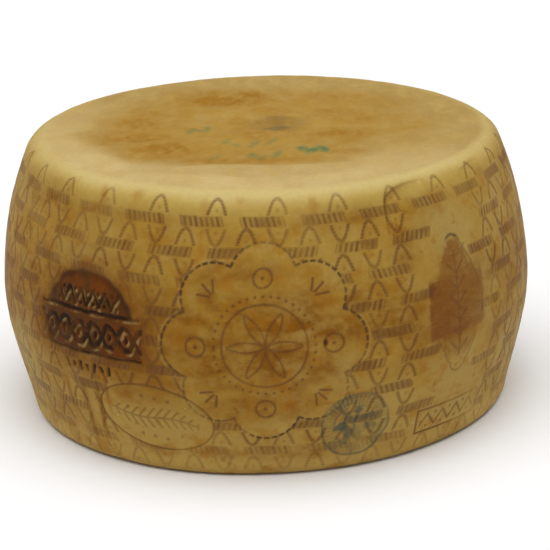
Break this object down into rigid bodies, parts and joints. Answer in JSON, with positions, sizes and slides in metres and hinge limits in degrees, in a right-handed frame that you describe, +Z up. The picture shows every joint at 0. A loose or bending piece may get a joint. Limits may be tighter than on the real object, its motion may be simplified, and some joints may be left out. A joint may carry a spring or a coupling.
{
  "type": "hard cheese wheel",
  "caption": "Whole barrel-shaped wheel of aged hard cheese with a golden waxy rind, pricked and burned with plain ornament, standing on its flat lower face.",
  "frame": {"origin": "middle of the base, on the surface that the wheel stands on", "axes": "+Z up along the wheel's axis, -Y out of the front with the large central emblem, +X to the right of it"},
  "size_m": [0.4308, 0.4294, 0.2239],
  "materials": {
    "rind": "waxy satin, mottled golden brown"
  },
  "bodies": {
    "root": {"wheel": "rind"}
  },
  "joints": []
}
